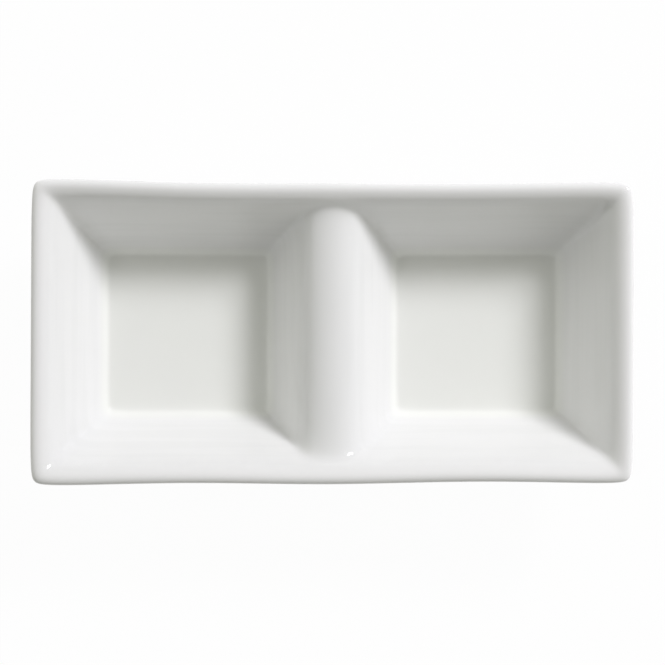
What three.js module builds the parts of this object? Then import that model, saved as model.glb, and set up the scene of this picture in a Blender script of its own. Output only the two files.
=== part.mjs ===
// A porcelain sauce dish with two square wells in one rounded rim and a low rounded divider between them.
// Millimetres, +Z up. The origin is on the table under the middle of the dish: length along X, width along Y.
// The dish is a fired porcelain body with a coat of glaze. The two square foot rings are left bare.

import * as THREE from "three";
import { mergeVertices } from "three/addons/utils/BufferGeometryUtils.js";

// Outside of the glazed dish
const dishLength = 140;
const dishWidth = 70.6; // at the corners, where the long sides flare out most
const dishHeight = 26;
const rimCornerRadius = 3.6;
const sideDrawAtWell = 0.75; // how far each long side draws in beside the middle of a well
const sideDrawAtDivider = 0.45; // and beside the divider

// Wells
const wellSpacing = 67.4; // between the middles of the two floors
const wellFloorLength = 37.4;
const wellFloorWidth = 36.8;
const floorThickness = 3.6;
const floorCornerRadius = 1.2;
const floorFillet = 1.4; // where the walls rise from the floor

// Rim and divider
const rimInsideRadius = 3.8; // from the top of the rim down into a well
const rimOutsideRadius = 1.35; // and over the outer edge
const crestDrop = 3.5; // crest of the divider below the top of the rim
const crestRadius = 9;
const dividerThickness = 3.8;
const cornerBlend = 0.28; // softness of the corners where the divider runs into the long walls

// Foot rings and glaze
const footHeight = 1.5;
const footWidth = 2.4; // of the standing face
const footDraft = 0.4; // each side of a foot leans in by this much
const glazeThickness = 0.3;

const { degToRad, lerp, smoothstep } = THREE.MathUtils;
const upright = degToRad(90);
const floorTop = footHeight + floorThickness;
const wellMiddle = wellSpacing / 2;

// Places of the stations in a section, counted outwards from the middle of a well
const { cornerStart, footInside, filletTop, footOutside } = {
  cornerStart: 1, // the rounded corners of the floor and of the foot begin here
  footInside: 2, // where the base meets the foot ring, and where the flat of the floor ends
  filletTop: 4, // where a wall leaves the fillet round the floor
  footOutside: 5, // where an outer wall leaves the foot ring; inside, half way up the divider's flank
};
const roundSteps = { crest: 3, rim: 4 };
const flankTop = footOutside + 1; // where the divider's flank runs into the round of its crest
const crestLine = flankTop + roundSteps.crest;
const lipTouch = crestLine + 1; // where a wall runs into the round of the rim
const rimEdge = lipTouch + roundSteps.rim;

// The slope of a wall is that of the line from the edge of the floor that touches the round above it.
function wallTo(floorHalf, roundOut, roundUp, roundRadius) {
  const across = roundOut - floorHalf;
  const rise = roundUp - floorTop;
  const slope = Math.atan2(rise, across) + Math.asin(roundRadius / Math.hypot(across, rise));
  return { roundOut, roundUp, roundRadius, slope };
}

// A wall under the rim. Both rounds of the rim share its top, and the outer wall is parallel to the inner one.
function rimWall(floorHalf, edge) {
  const roundOut = edge - rimOutsideRadius;
  const inside = wallTo(floorHalf, roundOut, dishHeight - rimInsideRadius, rimInsideRadius);
  const outside = { ...inside, roundUp: dishHeight - rimOutsideRadius, roundRadius: rimOutsideRadius };
  return { inside, outside };
}

const crestUp = dishHeight - crestDrop - crestRadius;
const endWall = rimWall(wellFloorLength / 2, dishLength / 2 - wellMiddle);
const longWall = rimWall(wellFloorWidth / 2, dishWidth / 2);
const dividerWall = wallTo(wellFloorLength / 2, wellMiddle, crestUp, crestRadius);

function onRound(wall, radius, angle) {
  return {
    out: wall.roundOut + radius * Math.cos(angle),
    up: wall.roundUp + radius * Math.sin(angle),
  };
}

function evenAngles(from, to, steps) {
  return Array.from({ length: steps + 1 }, (_, step) => lerp(from, to, step / steps));
}

// Where the straight line of a wall, carried on, comes down to a level.
function wallAtLevel(wall, touch, level) {
  return touch.out - (touch.up - level) / Math.tan(wall.slope);
}

// Stations up a straight wall at the given levels, and then round the arc through the given angles.
function wallAndRound(wall, radius, angles, levels) {
  const round = angles.map((angle) => onRound(wall, radius, angle));
  const upWall = levels.map((level) => ({ out: wallAtLevel(wall, round[0], level), up: level }));
  return [...upWall, ...round];
}

// The inside of a well: flat floor, fillet, straight wall, and the round of the rim or of the crest.
// The skin is how far the surface lies under the glazed one.
function insideSection(wall, angles, levels, skin) {
  const radius = wall.roundRadius - skin;
  const floor = floorTop - skin;
  const edge = wallAtLevel(wall, onRound(wall, radius, angles[0]), floor);
  const fillet = floorFillet + skin;
  const filletStart = edge - fillet * Math.tan(wall.slope / 2);
  const rounding = evenAngles(0, wall.slope, filletTop - footInside).map((angle) => ({
    out: filletStart + fillet * Math.sin(angle),
    up: floor + fillet * (1 - Math.cos(angle)),
  }));
  return [
    { out: 0, up: floor },
    { out: filletStart - floorCornerRadius, up: floor },
    ...rounding,
    ...wallAndRound(wall, radius, angles, levels),
  ];
}

// The underside: recessed base, foot ring, straight outer wall, and the round under the lip or under the crest.
// The foot ring keeps its place under the glazed wall whatever the skin.
function undersideSection(wall, angles, radiusUnder, levels, skin) {
  const base = footHeight + skin;
  const wallFoot = (depth) =>
    wallAtLevel(wall, onRound(wall, radiusUnder(depth), angles[0]), footHeight + depth);
  const standOutside = wallFoot(0) - footDraft;
  const standInside = standOutside - footWidth;
  const baseEdge = standInside - footDraft;
  return [
    { out: 0, up: base },
    { out: baseEdge - floorCornerRadius, up: base },
    { out: baseEdge, up: base },
    { out: standInside, up: 0 },
    { out: standOutside, up: 0 },
    { out: wallFoot(skin), up: base },
    ...wallAndRound(wall, radiusUnder(skin), angles, levels),
  ];
}

function rimInside({ inside, outside }, levels, skin) {
  const halfRound = roundSteps.rim / 2;
  const downIntoWell = evenAngles(inside.slope + upright, upright, halfRound);
  const overEdge = evenAngles(upright, 0, halfRound).slice(1);
  return [
    ...insideSection(inside, downIntoWell, levels, skin),
    ...overEdge.map((angle) => onRound(outside, rimOutsideRadius - skin, angle)),
  ];
}

function rimUnderside({ outside }, levels, skin) {
  const angles = evenAngles(outside.slope - upright, 0, roundSteps.rim);
  const radiusUnder = (depth) => rimOutsideRadius - depth;
  return undersideSection(outside, angles, radiusUnder, levels, skin);
}

const crestAngles = evenAngles(dividerWall.slope + upright, upright, roundSteps.crest);

// The other walls have stations level with the divider's, so the corner between them is a line of the net.
function levelsFrom(divider, place) {
  return divider.slice(place).map((station) => station.up);
}

// A face of the dish, upper or lower, as its three sections.
function upperFace(skin) {
  const level = floorTop - skin;
  const touch = onRound(dividerWall, crestRadius - skin, crestAngles[0]);
  const divider = insideSection(dividerWall, crestAngles, [(level + touch.up) / 2], skin);
  const levels = levelsFrom(divider, filletTop + 1);
  return {
    level,
    wallFoot: filletTop,
    end: rimInside(endWall, levels, skin),
    long: rimInside(longWall, levels, skin),
    divider,
  };
}

function lowerFace(skin) {
  const hollowRadius = (depth) => crestRadius - dividerThickness + depth;
  const divider = undersideSection(dividerWall, crestAngles, hollowRadius, [], skin);
  const levels = levelsFrom(divider, flankTop);
  return {
    level: footHeight + skin,
    wallFoot: footOutside,
    end: rimUnderside(endWall, levels, skin),
    long: rimUnderside(longWall, levels, skin),
    divider,
  };
}

// Lines of the surface net. A column crosses the dish at one station of a well, and so does a row along it.
function netColumns() {
  const right = [];
  for (let place = crestLine; place > 0; place -= 1) {
    right.push({ well: 1, side: "divider", place });
  }
  for (let place = 0; place <= rimEdge; place += 1) {
    right.push({ well: 1, side: "end", place });
  }
  const left = right.slice(1).reverse();
  return [...left.map((column) => ({ ...column, well: -1 })), ...right];
}

function netRows() {
  const back = Array.from({ length: rimEdge }, (_, step) => ({ side: 1, place: step + 1 }));
  const front = back.map((row) => ({ ...row, side: -1 })).reverse();
  return [...front, ...back];
}

const columns = netColumns();
const rows = netRows();

// A softened greater of two heights over the floor: a fillet that grows with the height, up to a limit.
function blended(first, second, limit) {
  const greater = Math.max(first, second);
  const reach = Math.min(cornerBlend * greater, limit);
  const overlap = Math.max(reach - Math.abs(first - second), 0);
  return reach > 0 ? greater + (overlap * overlap) / (4 * reach) : greater;
}

// The height where the divider meets a long wall. The fillet between them ends below the round of the rim.
function junctionHeight(face, column, row) {
  const side = face.long[row.place].up;
  if (row.place >= lipTouch) {
    return side;
  }
  const flank = face.divider[column.place].up;
  const limit = face.long[lipTouch].up - face.divider[crestLine].up;
  const over = (height) => Math.max(height - face.level, 0);
  return face.level + blended(over(flank), over(side), limit);
}

// One quarter of a ring round a well, with its corner rounded in plan.
function ringPoint(across, along, alongX, alongY, radius) {
  const point = { x: Math.min(alongX, across.out), y: Math.min(alongY, along.out) };
  const overX = point.x - (across.out - radius);
  const overY = point.y - (along.out - radius);
  let turn = overX >= overY ? 0 : upright;
  if (Math.max(overX, overY) > 0 && Math.min(overX, overY) > 0 && radius > 0) {
    const half = upright / 2;
    turn = overX >= overY ? (half * overY) / radius : upright - (half * overX) / radius;
    point.x = across.out - radius + radius * Math.cos(turn);
    point.y = along.out - radius + radius * Math.sin(turn);
  }
  point.z = lerp(across.up, along.up, turn / upright);
  return point;
}

// The corners of a well stay tight for most of the wall and open out to the corner of the rim.
function cornerRadius(rise) {
  return lerp(floorCornerRadius, rimCornerRadius, rise * rise * rise);
}

function sideDraw(x) {
  const fromMiddle = Math.abs(x);
  const toWell = smoothstep(fromMiddle, 0, wellMiddle);
  const toEnd = smoothstep(fromMiddle, wellMiddle, dishLength / 2);
  return lerp(lerp(sideDrawAtDivider, sideDrawAtWell, toWell), 0, toEnd);
}

// Both faces meet on the edge of the rim, where the net of the upper one is used.
function netPoint(face, rimFace, column, row) {
  const ring = Math.max(column.place, row.place);
  const net = row.place === rimEdge || (column.side === "end" && column.place === rimEdge) ? rimFace : face;
  const alongX = net[column.side][column.place].out;
  const alongY = net.long[row.place].out;
  const wall = face[column.side];
  const wallFoot = face.long[face.wallFoot].out;
  const reach = face.long[rimEdge].out - wallFoot;
  const rise = (place) => Math.max((face.long[place].out - wallFoot) / reach, 0);
  let point;
  let sideRing = ring;
  if (column.side === "end" || ring <= footOutside) {
    const radius = ring > cornerStart ? cornerRadius(rise(ring)) : 0;
    point = ringPoint(wall[ring], face.long[ring], alongX, alongY, radius);
  } else {
    point = { x: alongX, y: alongY, z: junctionHeight(face, column, row) };
    sideRing = row.place;
  }
  const outwards = column.side === "end" ? 1 : -1;
  const x = column.well * (wellMiddle + outwards * point.x);
  const half = Math.max(face.long[sideRing].out, wallFoot);
  const y = point.y * (1 - (sideDraw(x) * rise(sideRing)) / half);
  return new THREE.Vector3(x, row.side * y, point.z);
}

// The quads of the net, each with its well and the outermost ring that it touches.
function netQuads() {
  const quads = [];
  for (let i = 0; i + 1 < columns.length; i += 1) {
    for (let j = 0; j + 1 < rows.length; j += 1) {
      const corners = [columns[i], columns[i + 1]].flatMap((column) =>
        [rows[j], rows[j + 1]].map((row) => Math.max(column.place, row.place)),
      );
      const well = (columns[i].well + columns[i + 1].well) / 2;
      quads.push({ i, j, well, ring: Math.max(...corners), leans: leansBack(i, j) });
    }
  }
  return quads;
}

// A quad is split along the line that runs out from the middle of its well.
function leansBack(i, j) {
  const outwardX = columns[i + 1].place - columns[i].place;
  const outwardY = rows[j + 1].place - rows[j].place;
  return outwardX * outwardY < 0;
}

const quads = netQuads();

// A face of the dish as points over the net.
function netOf(face, rimFace) {
  return columns.map((column) => rows.map((row) => netPoint(face, rimFace, column, row)));
}

function addTriangle(triangles, a, b, c, flipped) {
  triangles.push(flipped ? [a, c, b] : [a, b, c]);
}

function addPatch(triangles, net, patch, flipped) {
  for (const { i, j, leans } of patch) {
    const [a, b, c, d] = [net[i][j], net[i + 1][j], net[i + 1][j + 1], net[i][j + 1]];
    if (leans) {
      addTriangle(triangles, a, b, d, flipped);
      addTriangle(triangles, b, c, d, flipped);
    } else {
      addTriangle(triangles, a, b, c, flipped);
      addTriangle(triangles, a, c, d, flipped);
    }
  }
}

// Edges of a patch that belong to one quad only, leaving out the edge of the rim.
function openEdges(patch) {
  const edges = new Map();
  const last = { i: columns.length - 1, j: rows.length - 1 };
  for (const { i, j } of patch) {
    const around = [[i, j], [i + 1, j], [i + 1, j + 1], [i, j + 1]];
    around.forEach((from, side) => {
      const to = around[(side + 1) % around.length];
      const back = [to, from].join("/");
      if (!edges.delete(back)) {
        edges.set([from, to].join("/"), [from, to]);
      }
    });
  }
  const onRim = ([i, j]) => i === 0 || j === 0 || i === last.i || j === last.j;
  return [...edges.values()].filter(([from, to]) => !(onRim(from) && onRim(to)));
}

// The narrow faces that close a coat along the open edges of a patch.
function addEdgeFaces(triangles, outer, inner, patch, flipped) {
  for (const [[i, j], [k, l]] of openEdges(patch)) {
    addTriangle(triangles, outer[i][j], inner[i][j], inner[k][l], flipped);
    addTriangle(triangles, outer[i][j], inner[k][l], outer[k][l], flipped);
  }
}

function solidFrom(triangles, name, material) {
  const geometry = new THREE.BufferGeometry().setFromPoints(triangles.flat());
  const merged = mergeVertices(geometry);
  merged.computeVertexNormals();
  const mesh = new THREE.Mesh(merged, material);
  mesh.name = name;
  return mesh;
}

const coat = { upper: upperFace(0), lower: lowerFace(0) };
const body = { upper: upperFace(glazeThickness), lower: lowerFace(glazeThickness) };
const coatUpper = netOf(coat.upper, coat.upper);
const coatLower = netOf(coat.lower, coat.upper);
const bodyUpper = netOf(body.upper, body.upper);
const bodyLower = netOf(body.lower, body.upper);

const porcelain = new THREE.MeshStandardMaterial({ color: 0xe6e3da, roughness: 0.75, metalness: 0 });
const glaze = new THREE.MeshStandardMaterial({ color: 0xe9ebe6, roughness: 0.12, metalness: 0 });

function makeBody() {
  const triangles = [];
  addPatch(triangles, bodyUpper, quads, false);
  addPatch(triangles, bodyLower, quads, true);
  return solidFrom(triangles, "porcelain_body", porcelain);
}

// The coat over both wells, the rim, the outer walls and the hollow under the divider, down to the foot rings.
function makeCoat() {
  const aboveFeet = quads.filter((quad) => quad.ring > footOutside);
  const triangles = [];
  addPatch(triangles, coatUpper, quads, false);
  addPatch(triangles, coatLower, aboveFeet, true);
  addPatch(triangles, bodyUpper, quads, true);
  addPatch(triangles, bodyLower, aboveFeet, false);
  addEdgeFaces(triangles, coatLower, bodyLower, aboveFeet, true);
  return solidFrom(triangles, "glaze_coat", glaze);
}

// The glaze on the base inside one foot ring.
function makeBaseGlaze(name, well) {
  const base = quads.filter((quad) => quad.well === well && quad.ring <= footInside);
  const triangles = [];
  addPatch(triangles, coatLower, base, true);
  addPatch(triangles, bodyLower, base, false);
  addEdgeFaces(triangles, coatLower, bodyLower, base, true);
  return solidFrom(triangles, name, glaze);
}

const sauceDish = new THREE.Group();
sauceDish.name = "double_sauce_dish";
sauceDish.add(makeBody());
sauceDish.add(makeCoat());
sauceDish.add(makeBaseGlaze("left_base_glaze", -1));
sauceDish.add(makeBaseGlaze("right_base_glaze", 1));

export default sauceDish;
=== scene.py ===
import math
import bmesh
import bpy
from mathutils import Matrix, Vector


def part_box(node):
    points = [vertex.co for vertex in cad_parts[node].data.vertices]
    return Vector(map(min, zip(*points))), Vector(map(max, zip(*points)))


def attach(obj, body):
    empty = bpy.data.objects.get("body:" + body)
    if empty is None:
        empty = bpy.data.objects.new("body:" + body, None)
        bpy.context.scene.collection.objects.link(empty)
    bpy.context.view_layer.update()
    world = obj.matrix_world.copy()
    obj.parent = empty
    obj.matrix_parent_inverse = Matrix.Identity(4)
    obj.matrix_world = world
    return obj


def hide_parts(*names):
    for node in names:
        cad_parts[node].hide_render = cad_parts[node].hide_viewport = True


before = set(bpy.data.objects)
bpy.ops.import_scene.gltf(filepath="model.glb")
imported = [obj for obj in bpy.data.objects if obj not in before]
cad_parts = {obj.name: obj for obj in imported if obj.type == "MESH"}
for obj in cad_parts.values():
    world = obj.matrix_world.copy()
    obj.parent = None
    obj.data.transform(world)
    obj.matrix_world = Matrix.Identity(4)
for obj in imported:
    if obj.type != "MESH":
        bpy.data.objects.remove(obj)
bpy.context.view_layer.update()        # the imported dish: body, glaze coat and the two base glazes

mm = 0.001
coatLow, coatHigh = (Vector(corner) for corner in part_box("glaze_coat"))
scene = bpy.context.scene
print("frame loaded, glaze coat", [round(v / mm, 2) for v in coatHigh - coatLow], "mm")


# modelling helpers

near = 0.02 * mm         # how far a cage point may lie from where it is looked for


def freshStart():
    if bpy.context.object and bpy.context.object.mode != "OBJECT":
        bpy.ops.object.mode_set(mode="OBJECT")
    bpy.ops.object.select_all(action="DESELECT")


def editCage(obj):
    return bmesh.from_edit_mesh(obj.data)


def pickFaces(obj, test):
    bpy.ops.mesh.select_mode(type="FACE")
    bpy.ops.mesh.select_all(action="DESELECT")
    cage = editCage(obj)
    for face in cage.faces:
        if test(face.calc_center_median(), face.normal):
            face.select_set(True)
    bmesh.update_edit_mesh(obj.data)


def pickVerts(obj, test):
    bpy.ops.mesh.select_mode(type="VERT")
    bpy.ops.mesh.select_all(action="DESELECT")
    cage = editCage(obj)
    for vert in cage.verts:
        if test(vert.co):
            vert.select_set(True)
    cage.select_flush(True)
    bmesh.update_edit_mesh(obj.data)


def fitPicked(obj, xRange, yRange, height):
    # stretch the picked faces over a rectangle and bring them to a height
    points = [v.co.copy() for v in editCage(obj).verts if v.select]
    low = Vector([min(p[i] for p in points) for i in range(3)])
    high = Vector([max(p[i] for p in points) for i in range(3)])
    middle = (low + high) / 2
    wanted = Vector(((xRange[0] + xRange[1]) / 2, (yRange[0] + yRange[1]) / 2, height))
    stretch = ((xRange[1] - xRange[0]) / (high.x - low.x), (yRange[1] - yRange[0]) / (high.y - low.y), 1)
    bpy.ops.transform.resize(value=stretch, center_override=middle)
    bpy.ops.transform.translate(value=wanted - middle)


def extrudePicked(obj, xRange, yRange, height):
    bpy.ops.mesh.extrude_region_move(TRANSFORM_OT_translate={"value": (0, 0, 0)})
    fitPicked(obj, xRange, yRange, height)


def cutAt(axis, place):
    normal = [0, 0, 0]
    normal[axis] = 1
    bpy.ops.mesh.select_all(action="SELECT")
    bpy.ops.mesh.bisect(plane_co=[place * n for n in normal], plane_no=normal)


def finishMesh(obj, level):
    bpy.ops.mesh.select_all(action="SELECT")
    bpy.ops.mesh.normals_make_consistent(inside=False)
    bpy.ops.object.mode_set(mode="OBJECT")
    if level:
        bpy.ops.object.modifier_add(type="SUBSURF")
        smooth = obj.modifiers[-1]
        smooth.levels = level
        smooth.render_levels = level
        bpy.ops.object.modifier_apply(modifier=smooth.name)
    bpy.ops.object.shade_smooth()


# the glazed dish

dish = {
    "halfLength": 70.0 * mm,
    "halfWidth": 35.3 * mm,
    "height": 26.0 * mm,
    "lipTop": 1.4 * mm,            # from the outer edge in to the top of the lip
    "lip": [(-3.15, -1.34), (-1.0, 0.0), (0.45, 0.05), (1.27, -0.6), (1.47, -1.65)],   # cage, mm from the top
    "wall": 3.8 * mm,
    "wellMiddle": 33.7 * mm,
    "floorHalfLength": 18.7 * mm,
    "floorHalfWidth": 18.4 * mm,
    "floorHeight": 5.1 * mm,
    "baseHeight": 1.5 * mm,
    "crestHeight": 22.5 * mm,
    "crestRadius": 9.0 * mm,
    "crestFlare": 0.45 * mm,       # its ends climb this far up the long walls
    "crestSpread": 1.14,           # and are this much wider there
    "rimCorner": 3.6 * mm,
    "mouthCorner": 2.8 * mm,
    "wallCorner": 4.6 * mm,        # half way down the walls, where the corners are softest
    "wellCorner": 2.3 * mm,
    "footCorner": 2.4 * mm,
    "cornerSupport": 2.6 * mm,     # cage lines this far from the corners of the rim
    "wellSupport": 1.43 * mm,      # from those of the floors
    "shoulderSupport": 3.38 * mm,  # and from the shoulders of the divider
    "floorFillet": (1.0 * mm, 5.0 * mm),    # up the walls, and in over the floors from their edge
    "baseFillet": (1.1 * mm, 1.1 * mm),
    "smoothLevel": 3,
    "backLine": [1.05, -0.84, -1.09, -1.42, -0.52],    # mm that firing moves a long side out, left to right
    "frontLine": [0.78, -0.6, -0.28, -1.21, -0.3],
    "skew": 0.3 * mm,              # and how far it shifts the back rim to the right
}


def roundCage(radius, step):
    # a cage ring this much larger than a round smooths down to it
    return radius * 6 / (4 + 2 * math.cos(step))


def slopeTo(across, rise, radius=0):
    # slope of a straight wall from a floor's edge to a point, or into a round about that point
    return math.atan2(rise, across) + math.asin(radius / math.hypot(across, rise))


def lineAt(low, high, height):
    # along a straight wall: distance from the middle at a height
    share = (height - low[1]) / (high[1] - low[1])
    return low[0] + share * (high[0] - low[0])


def softenCorners(obj, ring, radius, support):
    # pull the corners of a cage ring in until the smoothed corner has the radius
    (x0, x1), (y0, y1), height = ring
    arcDepth = (1 - math.sqrt(0.5)) * radius     # from the sharp corner in to the arc, along each axis
    pull = (6 * arcDepth - support) / 4          # smoothing moves it a sixth of the way to each neighbour
    atX = lambda v: min(abs(v.x - x0), abs(v.x - x1)) < near
    atY = lambda v: min(abs(v.y - y0), abs(v.y - y1)) < near
    pickVerts(obj, lambda v: atX(v) and atY(v) and abs(v.z - height) < near)
    fitPicked(obj, (x0 + pull, x1 - pull), (y0 + pull, y1 - pull), height)


def makeDish(d):
    # sections: a lip with a slow round inside and a quick one outside, straight walls, a rounded divider
    lip = [(out * mm, d["height"] + up * mm) for out, up in d["lip"]]
    lipOut = (d["halfLength"] - d["lipTop"], d["halfWidth"] - d["lipTop"])
    floorEnd, floorSide = d["wellMiddle"] + d["floorHalfLength"], d["floorHalfWidth"]
    floorInner = d["wellMiddle"] - d["floorHalfLength"]
    crestUp = d["crestHeight"] - d["crestRadius"]
    endSlope = slopeTo(lipOut[0] + lip[0][0] - floorEnd, lip[0][1] - d["floorHeight"])
    sideSlope = slopeTo(lipOut[1] + lip[0][0] - floorSide, lip[0][1] - d["floorHeight"])
    flankSlope = slopeTo(floorInner, crestUp - d["floorHeight"], d["crestRadius"])
    crestStep = flankSlope * 2 / 5
    crestCage = roundCage(d["crestRadius"], crestStep)
    hollowCage = roundCage(d["crestRadius"] - d["wall"], crestStep)

    def onRidge(cage, step):
        # cage point of the divider's round, this many steps from its top
        return cage * math.sin(step * crestStep), crestUp + cage * math.cos(step * crestStep)

    shoulder, hollow = onRidge(crestCage, 2), onRidge(hollowCage, 2)

    def baseEdge(floorEdge, slope, side):
        # where the outside of a wall meets the level of the base
        drop = (d["floorHeight"] - d["baseHeight"]) / math.tan(slope)
        return floorEdge + side * (d["wall"] / math.sin(slope) - drop), d["baseHeight"]

    floorUp = d["floorHeight"]
    inner = {
        "flank": [(floorInner, floorUp), shoulder],
        "end": [(floorEnd, floorUp), (lipOut[0] + lip[0][0], lip[0][1])],
        "side": [(floorSide, floorUp), (lipOut[1] + lip[0][0], lip[0][1])],
    }
    outer = {
        "flank": [baseEdge(floorInner, flankSlope, -1), hollow],
        "end": [baseEdge(floorEnd, endSlope, 1), (lipOut[0] + lip[4][0], lip[4][1])],
        "side": [baseEdge(floorSide, sideSlope, 1), (lipOut[1] + lip[4][0], lip[4][1])],
    }

    def rimRing(point):
        x, y = lipOut[0] + point[0], lipOut[1] + point[0]
        return (-x, x), (-y, y), point[1]

    def wholeRing(lines, height):
        x, y = lineAt(*lines["end"], height), lineAt(*lines["side"], height)
        return (-x, x), (-y, y), height

    def wellRing(lines, height, side):
        xs = sorted(side * lineAt(*lines[name], height) for name in ("flank", "end"))
        y = lineAt(*lines["side"], height)
        return xs, (-y, y), height

    # block with the outer half of the lip as its sides
    freshStart()
    bpy.ops.mesh.primitive_cube_add(size=1, location=(0, 0, 0))
    obj = bpy.context.object
    obj.name = "glazed_dish"
    bpy.ops.object.mode_set(mode="EDIT")
    pickFaces(obj, lambda c, n: n.z < -0.5)
    fitPicked(obj, *rimRing(lip[4]))
    pickFaces(obj, lambda c, n: n.z > 0.5)
    fitPicked(obj, *rimRing(lip[3]))

    # cage lines: divider, its shoulders, well middles and corners
    support = d["cornerSupport"]
    xLines = [onRidge(crestCage, 1)[0], shoulder[0], shoulder[0] + d["shoulderSupport"]]
    xLines += [d["wellMiddle"], floorEnd, d["halfLength"] - support]
    yLines = [floorSide, d["halfWidth"] - support]
    for axis, lines in ((0, [0] + xLines), (1, yLines)):
        for place in lines:
            cutAt(axis, place)
            if place:
                cutAt(axis, -place)

    # over the lip and down to the divider's shoulders, or down the outside to the hollow's
    narrow = shoulder[0] + support / 2
    lipCorners = [d["mouthCorner"], (d["mouthCorner"] + d["rimCorner"]) / 2] + [d["rimCorner"]] * 3
    corners = [(rimRing(point), radius, support) for point, radius in zip(lip, lipCorners)]
    for lines, faceUp, cage in ((inner, 1, crestCage), (outer, -1, hollowCage)):
        ridge = onRidge(cage, 2)
        pickFaces(obj, lambda c, n: n.z * faceUp > 0.9)
        if faceUp > 0:
            for k in (2, 1, 0):
                extrudePicked(obj, *rimRing(lip[k]))
        level = wholeRing(lines, ridge[1])
        extrudePicked(obj, *level)
        flat = lambda v: abs(v.z - ridge[1]) < near
        pickVerts(obj, lambda v: flat(v) and abs(v.x) < narrow)
        fitPicked(obj, (-ridge[0], ridge[0]), level[1], ridge[1])
        for step in (0, 1):
            across, up = onRidge(cage, step)
            pickVerts(obj, lambda v: flat(v) and abs(abs(v.x) - across) < near)
            bpy.ops.transform.translate(value=(0, 0, up - ridge[1]))
        corners.append((level, d["wallCorner"] if faceUp > 0 else d["rimCorner"], support))

        # each half: straight walls, then a fillet round the floor or base
        bottom = d["floorHeight"] if faceUp > 0 else d["baseHeight"]
        climb, reach = d["floorFillet"] if faceUp > 0 else d["baseFillet"]
        for side in (-1, 1):
            pickFaces(obj, lambda c, n: flat(c) and c.x * side > ridge[0] and n.z * faceUp > 0.9)
            for height in (bottom + climb * math.sin(sideSlope), bottom):
                ring = wellRing(lines, height, side)
                extrudePicked(obj, *ring)
                corners.append((ring, d["wellCorner"] if faceUp > 0 else d["footCorner"], d["wellSupport"]))
            extrudePicked(obj, *[(low + reach, high - reach) for low, high in ring[:2]], bottom)

        # the ends of the divider move out along the long walls
        flare, spread = (d["crestFlare"], d["crestSpread"]) if faceUp > 0 else (0, 1)
        onWall = lambda v: abs(v.y) > level[1][1] - near
        for step in (0, 1, 2):
            across, up = onRidge(cage, step)
            onLine = lambda v: abs(abs(v.x) - across) < near and abs(v.z - up) < near
            pickVerts(obj, lambda v: onWall(v) and onLine(v))
            outward = lineAt(*lines["side"], up + flare) / level[1][1]
            bpy.ops.transform.resize(value=(spread, outward, 1), center_override=(0, 0, 0))
            bpy.ops.transform.translate(value=(0, 0, flare))
    for ring, radius, reach in corners:
        softenCorners(obj, ring, radius, reach)
    finishMesh(obj, d["smoothLevel"])
    bpy.ops.object.mode_set(mode="EDIT")
    bpy.ops.mesh.select_all(action="SELECT")
    middleHeight = (d["baseHeight"] + d["height"]) / 2
    fitPicked(obj, (-d["halfLength"], d["halfLength"]), (-d["halfWidth"], d["halfWidth"]), middleHeight)
    bpy.ops.object.mode_set(mode="OBJECT")
    return obj


def drawSides(obj, d):
    freshStart()
    bpy.ops.object.add(type="LATTICE", location=(0, 0, d["height"] / 2))
    pull = bpy.context.object
    pull.scale = (2 * d["halfLength"], 2 * d["halfWidth"], d["height"])
    grid = pull.data
    grid.points_u, grid.points_v, grid.points_w = len(d["backLine"]), 2, 2
    grid.interpolation_type_u = "KEY_CARDINAL"
    for point in grid.points:
        if point.co.z > 0:
            place = round((point.co.x + 0.5) * (grid.points_u - 1))
            side, line = (1, d["backLine"]) if point.co.y > 0 else (-1, d["frontLine"])
            point.co_deform.y += side * line[place] * mm / pull.scale.y
            point.co_deform.x += side * d["skew"] / pull.scale.x
    freshStart()
    bpy.context.view_layer.objects.active = obj
    obj.select_set(True)
    bpy.ops.object.modifier_add(type="LATTICE")
    bend = obj.modifiers[-1]
    bend.object = pull
    bpy.ops.object.modifier_apply(modifier=bend.name)
    freshStart()
    pull.select_set(True)
    bpy.ops.object.delete()


glazedDish = makeDish(dish)
drawSides(glazedDish, dish)
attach(glazedDish, "root")
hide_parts("glaze_coat", "left_base_glaze", "right_base_glaze")
print("dish made,", len(glazedDish.data.polygons), "faces")


# the bare foot rings

foot = {
    "halfLength": 20.6 * mm,
    "halfWidth": 20.3 * mm,
    "width": 2.4 * mm,
    "top": 1.8 * mm,
    "cornerSupport": 3.6 * mm,
    "edge": 0.35 * mm,
    "smoothLevel": 2,
}


def makeFoot(f):
    freshStart()
    bpy.ops.mesh.primitive_plane_add(size=1, location=(0, 0, 0))
    obj = bpy.context.object
    obj.name = "bare_foot"
    bpy.ops.object.mode_set(mode="EDIT")
    bpy.ops.mesh.select_all(action="SELECT")
    fitPicked(obj, (-f["halfLength"], f["halfLength"]), (-f["halfWidth"], f["halfWidth"]), 0)
    for axis, half in ((0, f["halfLength"]), (1, f["halfWidth"])):
        for side in (-1, 1):
            cutAt(axis, side * (half - f["cornerSupport"]))
    bpy.ops.mesh.select_all(action="SELECT")
    bpy.ops.mesh.inset(thickness=f["width"])
    bpy.ops.mesh.delete(type="FACE")
    bpy.ops.object.mode_set(mode="OBJECT")
    bpy.ops.object.modifier_add(type="SOLIDIFY")
    wall = obj.modifiers[-1]
    wall.thickness = f["top"]
    wall.offset = 1
    bpy.ops.object.modifier_apply(modifier=wall.name)
    bpy.ops.object.modifier_add(type="BEVEL")
    edge = obj.modifiers[-1]
    edge.width = f["edge"]
    edge.segments = 2
    edge.limit_method = "ANGLE"
    bpy.ops.object.modifier_apply(modifier=edge.name)
    bpy.ops.object.mode_set(mode="EDIT")
    bpy.ops.mesh.select_all(action="SELECT")
    bpy.ops.transform.translate(value=(-dish["wellMiddle"], 0, 0))
    bpy.ops.mesh.duplicate_move(TRANSFORM_OT_translate={"value": (2 * dish["wellMiddle"], 0, 0)})
    finishMesh(obj, f["smoothLevel"])
    return obj


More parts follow.
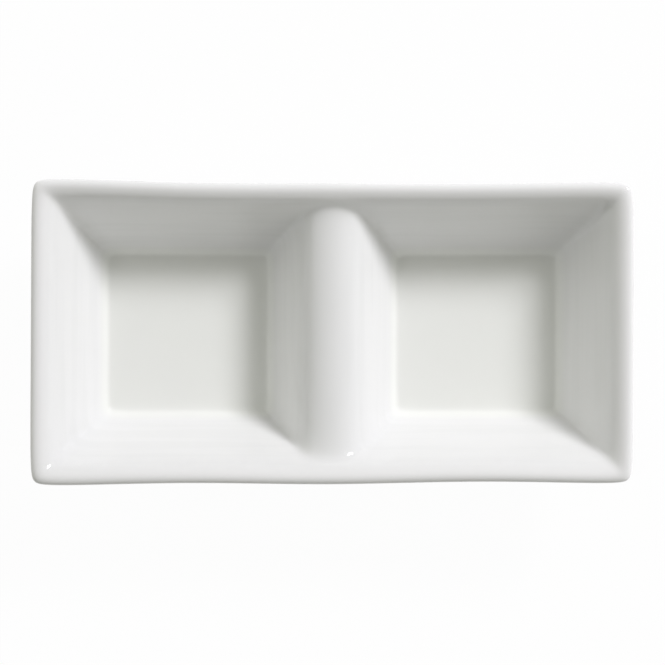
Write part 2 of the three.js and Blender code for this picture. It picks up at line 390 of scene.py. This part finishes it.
bareFoot = makeFoot(foot)
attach(bareFoot, "root")
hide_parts("porcelain_body")
print("foot made,", len(bareFoot.data.polygons), "faces")


# stage, light and camera

studio = {
    "floorSize": 6.0,
    "lensDistance": 2.0,
    "lensRight": 0.1 * mm,
    "frameWidth": 154.4 * mm,      # width of the picture at the height of the rim
}
key = {
    "azimuth": 44,
    "elevation": 35,
    "distance": 2.4,
    "size": 0.52,
    "power": 43.7,
    "colour": (0.99, 0.98, 1.03),
}


def makeStage(s):
    freshStart()
    bpy.ops.mesh.primitive_plane_add(size=s["floorSize"], location=(0, 0, 0))
    floor = bpy.context.object
    floor.name = "floor"
    return floor


def makeCamera(s):
    data = bpy.data.cameras.new("camera")
    camera = bpy.data.objects.new("camera", data)
    scene.collection.objects.link(camera)
    camera.location = (s["lensRight"], 0, dish["height"] + s["lensDistance"])
    data.sensor_width = 36
    data.sensor_fit = "HORIZONTAL"
    data.lens = data.sensor_width * s["lensDistance"] / s["frameWidth"]
    data.clip_end = 20
    scene.camera = camera


def wayTo(azimuth, elevation):
    turn, rise = math.radians(azimuth), math.radians(elevation)
    return Vector((math.cos(rise) * math.cos(turn), math.cos(rise) * math.sin(turn), math.sin(rise)))


def makeKey(k):
    data = bpy.data.lights.new("key", "AREA")
    light = bpy.data.objects.new("key", data)
    scene.collection.objects.link(light)
    way = wayTo(k["azimuth"], k["elevation"])
    light.location = way * k["distance"]
    light.rotation_euler = way.to_track_quat("Z", "Y").to_euler()
    data.size = k["size"]
    data.energy = k["power"]
    data.color = k["colour"]


floor = makeStage(studio)
makeCamera(studio)
makeKey(key)

scene.view_settings.view_transform = "Standard"
print("stage, camera and lights set")


# shaders

class Wire:
    # a shader socket with arithmetic
    def __init__(self, tree, socket=None):
        self.tree, self.socket = tree, socket

    def make(self, kind, output, inputs=None, **settings):
        node = self.tree.nodes.new(kind)
        for name, value in settings.items():
            setattr(node, name, value)
        for name, value in (inputs or {}).items():
            if isinstance(value, Wire):
                self.tree.links.new(value.socket, node.inputs[name])
            else:
                node.inputs[name].default_value = value
        return Wire(self.tree, node.outputs[output])

    def math(self, operation, first, second=0.0):
        return self.make("ShaderNodeMath", 0, {0: first, 1: second}, operation=operation)

    def __add__(self, other):
        return self.math("ADD", self, other)

    def __radd__(self, other):
        return self.math("ADD", other, self)

    def __sub__(self, other):
        return self.math("SUBTRACT", self, other)

    def __rsub__(self, other):
        return self.math("SUBTRACT", other, self)

    def __mul__(self, other):
        return self.math("MULTIPLY", self, other)

    def __rmul__(self, other):
        return self.math("MULTIPLY", other, self)

    def size(self):
        return self.math("ABSOLUTE", self)

    def greater(self, other):
        return self.math("MAXIMUM", self, other)

    def power(self, other):
        return self.math("POWER", self, other)

    def along(self, axis):
        return self.make("ShaderNodeVectorMath", "Value", {0: self, 1: axis}, operation="DOT_PRODUCT")

    def fade(self, start, stop):
        # 0 at start and 1 at stop, eased
        return self.make("ShaderNodeMapRange", 0, {"Value": self, "From Min": start, "From Max": stop},
                         interpolation_type="SMOOTHSTEP")

    def stretch(self, factors):
        return self.make("ShaderNodeVectorMath", 0, {0: self, 1: factors}, operation="MULTIPLY")

    def noise(self, scale, detail):
        return self.make("ShaderNodeTexNoise", 0, {"Vector": self, "Scale": scale, "Detail": detail})

    def tint(self, first, second):
        # this share of the way from one colour to another
        ends = {0: self, 6: colourOf(first), 7: colourOf(second)}
        return self.make("ShaderNodeMix", 2, ends, data_type="RGBA")

    def bump(self, depth, under=None):
        inputs = {"Height": self, "Distance": depth}
        if under:
            inputs["Normal"] = under
        return self.make("ShaderNodeBump", 0, inputs)

    def axes(self):
        split = self.make("ShaderNodeSeparateXYZ", 0, {"Vector": self}).socket.node
        return [Wire(self.tree, axis) for axis in split.outputs]


def colourOf(value):
    return value if isinstance(value, Wire) else (*value, 1)


def newMaterial(name):
    material = bpy.data.materials.new(name)
    material.use_nodes = True
    tree = material.node_tree
    shader = tree.nodes["Principled BSDF"]
    place = Wire(tree).make("ShaderNodeTexCoord", "Object")
    return material, tree, shader, place


def joinUp(tree, shader, **inputs):
    for name, wire in inputs.items():
        tree.links.new(wire.socket, shader.inputs[name.replace("_", " ")])


glazeLook = {
    "white": (0.858, 0.859, 0.852),
    "poolAndPaintedLight": (0.905, 0.913, 0.876),     # thick and opaque where it runs together, and a little green; also lighter, as painted light on the level floors
    "thin": (0.865, 0.862, 0.855),       # over the edge of the rim
    "streakAndPaintedReflection": (0.84, 0.842, 0.834),      # a shade greyer along the mould lines: partly a glaze-thickness tint, partly painted reflection streaks
    "bareEdge": (0.74, 0.72, 0.67),
    "roughness": 0.06,
    "ior": 1.5,
    "poolAndLightHeight": 4 * mm,                # it runs together, and the floors are painted lighter, this far up from the floors
    "thinHeight": 2 * mm,                # and thins out this far down from the top of the rim
    "patchSize": 28 * mm,
    "edgeSize": 2.2 * mm,                # waves in its lower edge
    "edgeWander": 0.5 * mm,
    "edgeRise": (0.4 * mm, 0.75 * mm),   # that edge fades out between these heights over the base
    "edgeInside": (0.45 * mm, 0.15 * mm),    # and in over the top of the foot
    "smearSize": 6 * mm,
    "lineStretch": (0.04, 0.04, 1),
    "lineSize": 2.2 * mm,                # faint lines from the mould, level round the walls; they also place the painted reflection streaks
    "lineDepth": 0.022 * mm,
    "rippleSize": 9 * mm,
    "rippleDepth": 0.02 * mm,
    "peelSize": 0.9 * mm,
    "peelDepth": 0.0015 * mm,
}


def makeGlaze(g, d):
    material, tree, shader, place = newMaterial("glossy white glaze")
    x, y, z = place.axes()
    patch = place.noise(1 / g["patchSize"], 2)
    # floors and the foot of the walls: a greener pooled glaze, and painted light that makes the level floors
    # lighter than the walls
    poolAndPaintedLight = z.fade(d["floorHeight"] + g["poolAndLightHeight"], d["floorHeight"]) * (0.7 + 0.6 * patch)
    thin = z.fade(d["height"] - g["thinHeight"], d["height"]) * (0.6 + 0.6 * patch)
    mouldAndReflectionLines = place.stretch(g["lineStretch"]).noise(1 / g["lineSize"], 2)
    # painted reflection streaks along the mould lines, besides a slight glaze-thickness tint
    colour = mouldAndReflectionLines.fade(0.4, 0.62).tint(g["white"], g["streakAndPaintedReflection"])
    colour = poolAndPaintedLight.tint(colour, g["poolAndPaintedLight"])
    colour = thin.tint(colour, g["thin"])
    # the glaze stops in an uneven line just above the bare foot
    fromWell = (x.size() - d["wellMiddle"]).size().greater(y.size())
    uneven = place.noise(1 / g["edgeSize"], 2) * g["edgeWander"]
    low, high = (d["baseHeight"] + rise for rise in g["edgeRise"])
    start, stop = (foot["halfWidth"] - inside for inside in g["edgeInside"])
    edge = (z + uneven).fade(high, low) * fromWell.fade(start, stop)
    colour = edge.tint(colour, g["bareEdge"])
    smear = place.noise(1 / g["smearSize"], 3)
    roughness = g["roughness"] + 0.04 * smear + 0.5 * edge
    ripple = place.noise(1 / g["rippleSize"], 1).bump(g["rippleDepth"], mouldAndReflectionLines.bump(g["lineDepth"]))
    peel = place.noise(1 / g["peelSize"], 1).bump(g["peelDepth"], ripple)
    shader.inputs["IOR"].default_value = g["ior"]
    joinUp(tree, shader, Base_Color=colour, Roughness=roughness, Normal=peel)
    return material


footLook = {
    "clay": (0.76, 0.735, 0.68),
    "stained": (0.62, 0.6, 0.555),       # rubbed grey on the standing face
    "roughness": 0.68,
    "rubSize": 3 * mm,
    "rubHeight": (0.4 * mm, 0.05 * mm),  # comes in between these heights
    "grainSize": 0.35 * mm,
    "grainDepth": 0.02 * mm,
}


def makeBare(f):
    material, tree, shader, place = newMaterial("bare porcelain")
    height = place.axes()[2]
    grain = place.noise(1 / f["grainSize"], 4)
    rub = place.noise(1 / f["rubSize"], 3).fade(0.4, 0.7) * height.fade(*f["rubHeight"])
    colour = (rub + 0.35 * grain - 0.1).tint(f["clay"], f["stained"])
    roughness = f["roughness"] + 0.2 * grain
    joinUp(tree, shader, Base_Color=colour, Roughness=roughness, Normal=grain.bump(f["grainDepth"]))
    return material


floorLook = {
    "paper": (0.86, 0.86, 0.855),
    "fibres": 900,           # to the metre
    "roughness": 0.9,
    "whiteShare": 0.97,      # how much of the floor's own white the picture sees over its shadow
}


def makeFloor(f):
    material, tree, shader, place = newMaterial("white sweep")
    fibre = place.noise(f["fibres"], 3)
    colour = fibre.tint(f["paper"], [c * 0.985 for c in f["paper"]])
    shader.inputs["Roughness"].default_value = f["roughness"]
    joinUp(tree, shader, Base_Color=colour)
    camera, glossy, through = (place.make("ShaderNodeLightPath", "Is %s Ray" % kind)
                               for kind in ("Camera", "Glossy", "Transmission"))
    seen = camera.greater(glossy).greater(through) * f["whiteShare"]
    glow = place.make("ShaderNodeEmission", 0)
    sweep = place.make("ShaderNodeMixShader", 0, {0: seen, 1: Wire(tree, shader.outputs[0]), 2: glow})
    joinUp(tree, tree.nodes["Material Output"], Surface=sweep)
    return material


room = {
    "colour": (1.015, 1.022, 0.962),
    "spread": 5,                   # the higher, the narrower each glow
    "glows": [
        {"azimuth": 180, "elevation": 0, "strength": 0.97},
        {"azimuth": 315, "elevation": 15, "strength": 1.15},
        {"azimuth": 135, "elevation": 15, "strength": 0.27},
        {"azimuth": 135, "elevation": 50, "strength": 0.65},
        {"azimuth": 90, "elevation": 50, "strength": 0.15},
        {"azimuth": 0, "elevation": 50, "strength": 0.15},
    ],
}


def makeWorld(r):
    # a pale room: broad soft glows round the table, with no edges to show in the glaze
    world = bpy.data.worlds.new("room")
    scene.world = world
    world.use_nodes = True
    tree = world.node_tree
    way = Wire(tree).make("ShaderNodeTexCoord", "Generated")
    light = 0
    for glow in r["glows"]:
        facing = way.along(wayTo(glow["azimuth"], glow["elevation"]))
        light = light + facing.greater(0).power(r["spread"]) * glow["strength"]
    sky = tree.nodes["Background"]
    sky.inputs["Color"].default_value = (*r["colour"], 1)
    tree.links.new(light.socket, sky.inputs["Strength"])


glazedDish.data.materials.append(makeGlaze(glazeLook, dish))
bareFoot.data.materials.append(makeBare(footLook))
floor.data.materials.append(makeFloor(floorLook))
makeWorld(room)
print("materials made")
